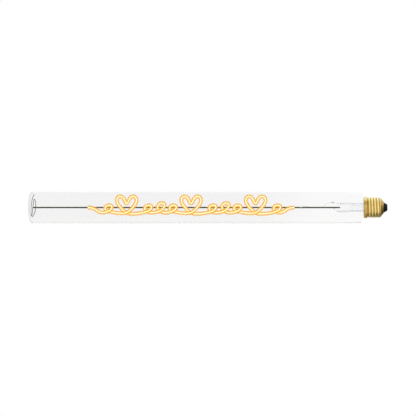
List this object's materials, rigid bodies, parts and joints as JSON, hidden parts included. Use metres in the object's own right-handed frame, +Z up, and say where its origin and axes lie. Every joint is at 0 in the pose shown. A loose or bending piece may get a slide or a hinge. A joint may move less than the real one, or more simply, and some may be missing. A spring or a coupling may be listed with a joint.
{
  "type": "decorative light bulb",
  "caption": "Long clear glass tube lamp with a glowing strip bent into hearts and curls along a central rod, on a brass screw cap.",
  "frame": {"origin": "centre of the brass cap's rim, where the glass tube meets the cap", "axes": "+X along the tube's axis towards the cap's contact, +Z up, the glowing strip on the -Y side of the rod"},
  "size_m": [0.4498, 0.04, 0.04],
  "materials": {
    "clear_glass": "clear, smooth, very faintly wavy",
    "glow": "glowing amber silicone over pale yellow light",
    "rod_steel": "dull drawn steel",
    "lead_wire": "nickel-plated wire",
    "bead_silicone": "milky silicone",
    "brass": "bright rolled brass sheet",
    "black_glass": "gloss black moulded glass",
    "contact_tin": "tinned contact",
    "cement": "matt cement",
    "board": "green circuit board",
    "component": "moulded black",
    "can": "sleeved can",
    "resistor": "lacquered",
    "cap_wire": "insulated wire"
  },
  "bodies": {
    "root": {"glass_tube": "clear_glass", "glass_stem": "clear_glass", "exhaust_tube": "clear_glass", "support_rod": "rod_steel", "end_spring": "lead_wire", "filament": "glow", "filament_terminals": "lead_wire", "filament_clips": "bead_silicone", "lead_wire_upper": "lead_wire", "lead_wire_lower": "lead_wire", "lead_crimp": "lead_wire", "feed_wire": "lead_wire", "screw_shell": "brass", "cap_insulator": "black_glass", "centre_contact": "contact_tin", "cap_cement": "cement", "driver_board": "board", "bridge_rectifier": "component", "driver_chip": "component", "smoothing_capacitor": "can", "fuse_resistor": "resistor", "live_wire": "cap_wire", "neutral_wire": "cap_wire"}
  },
  "joints": []
}
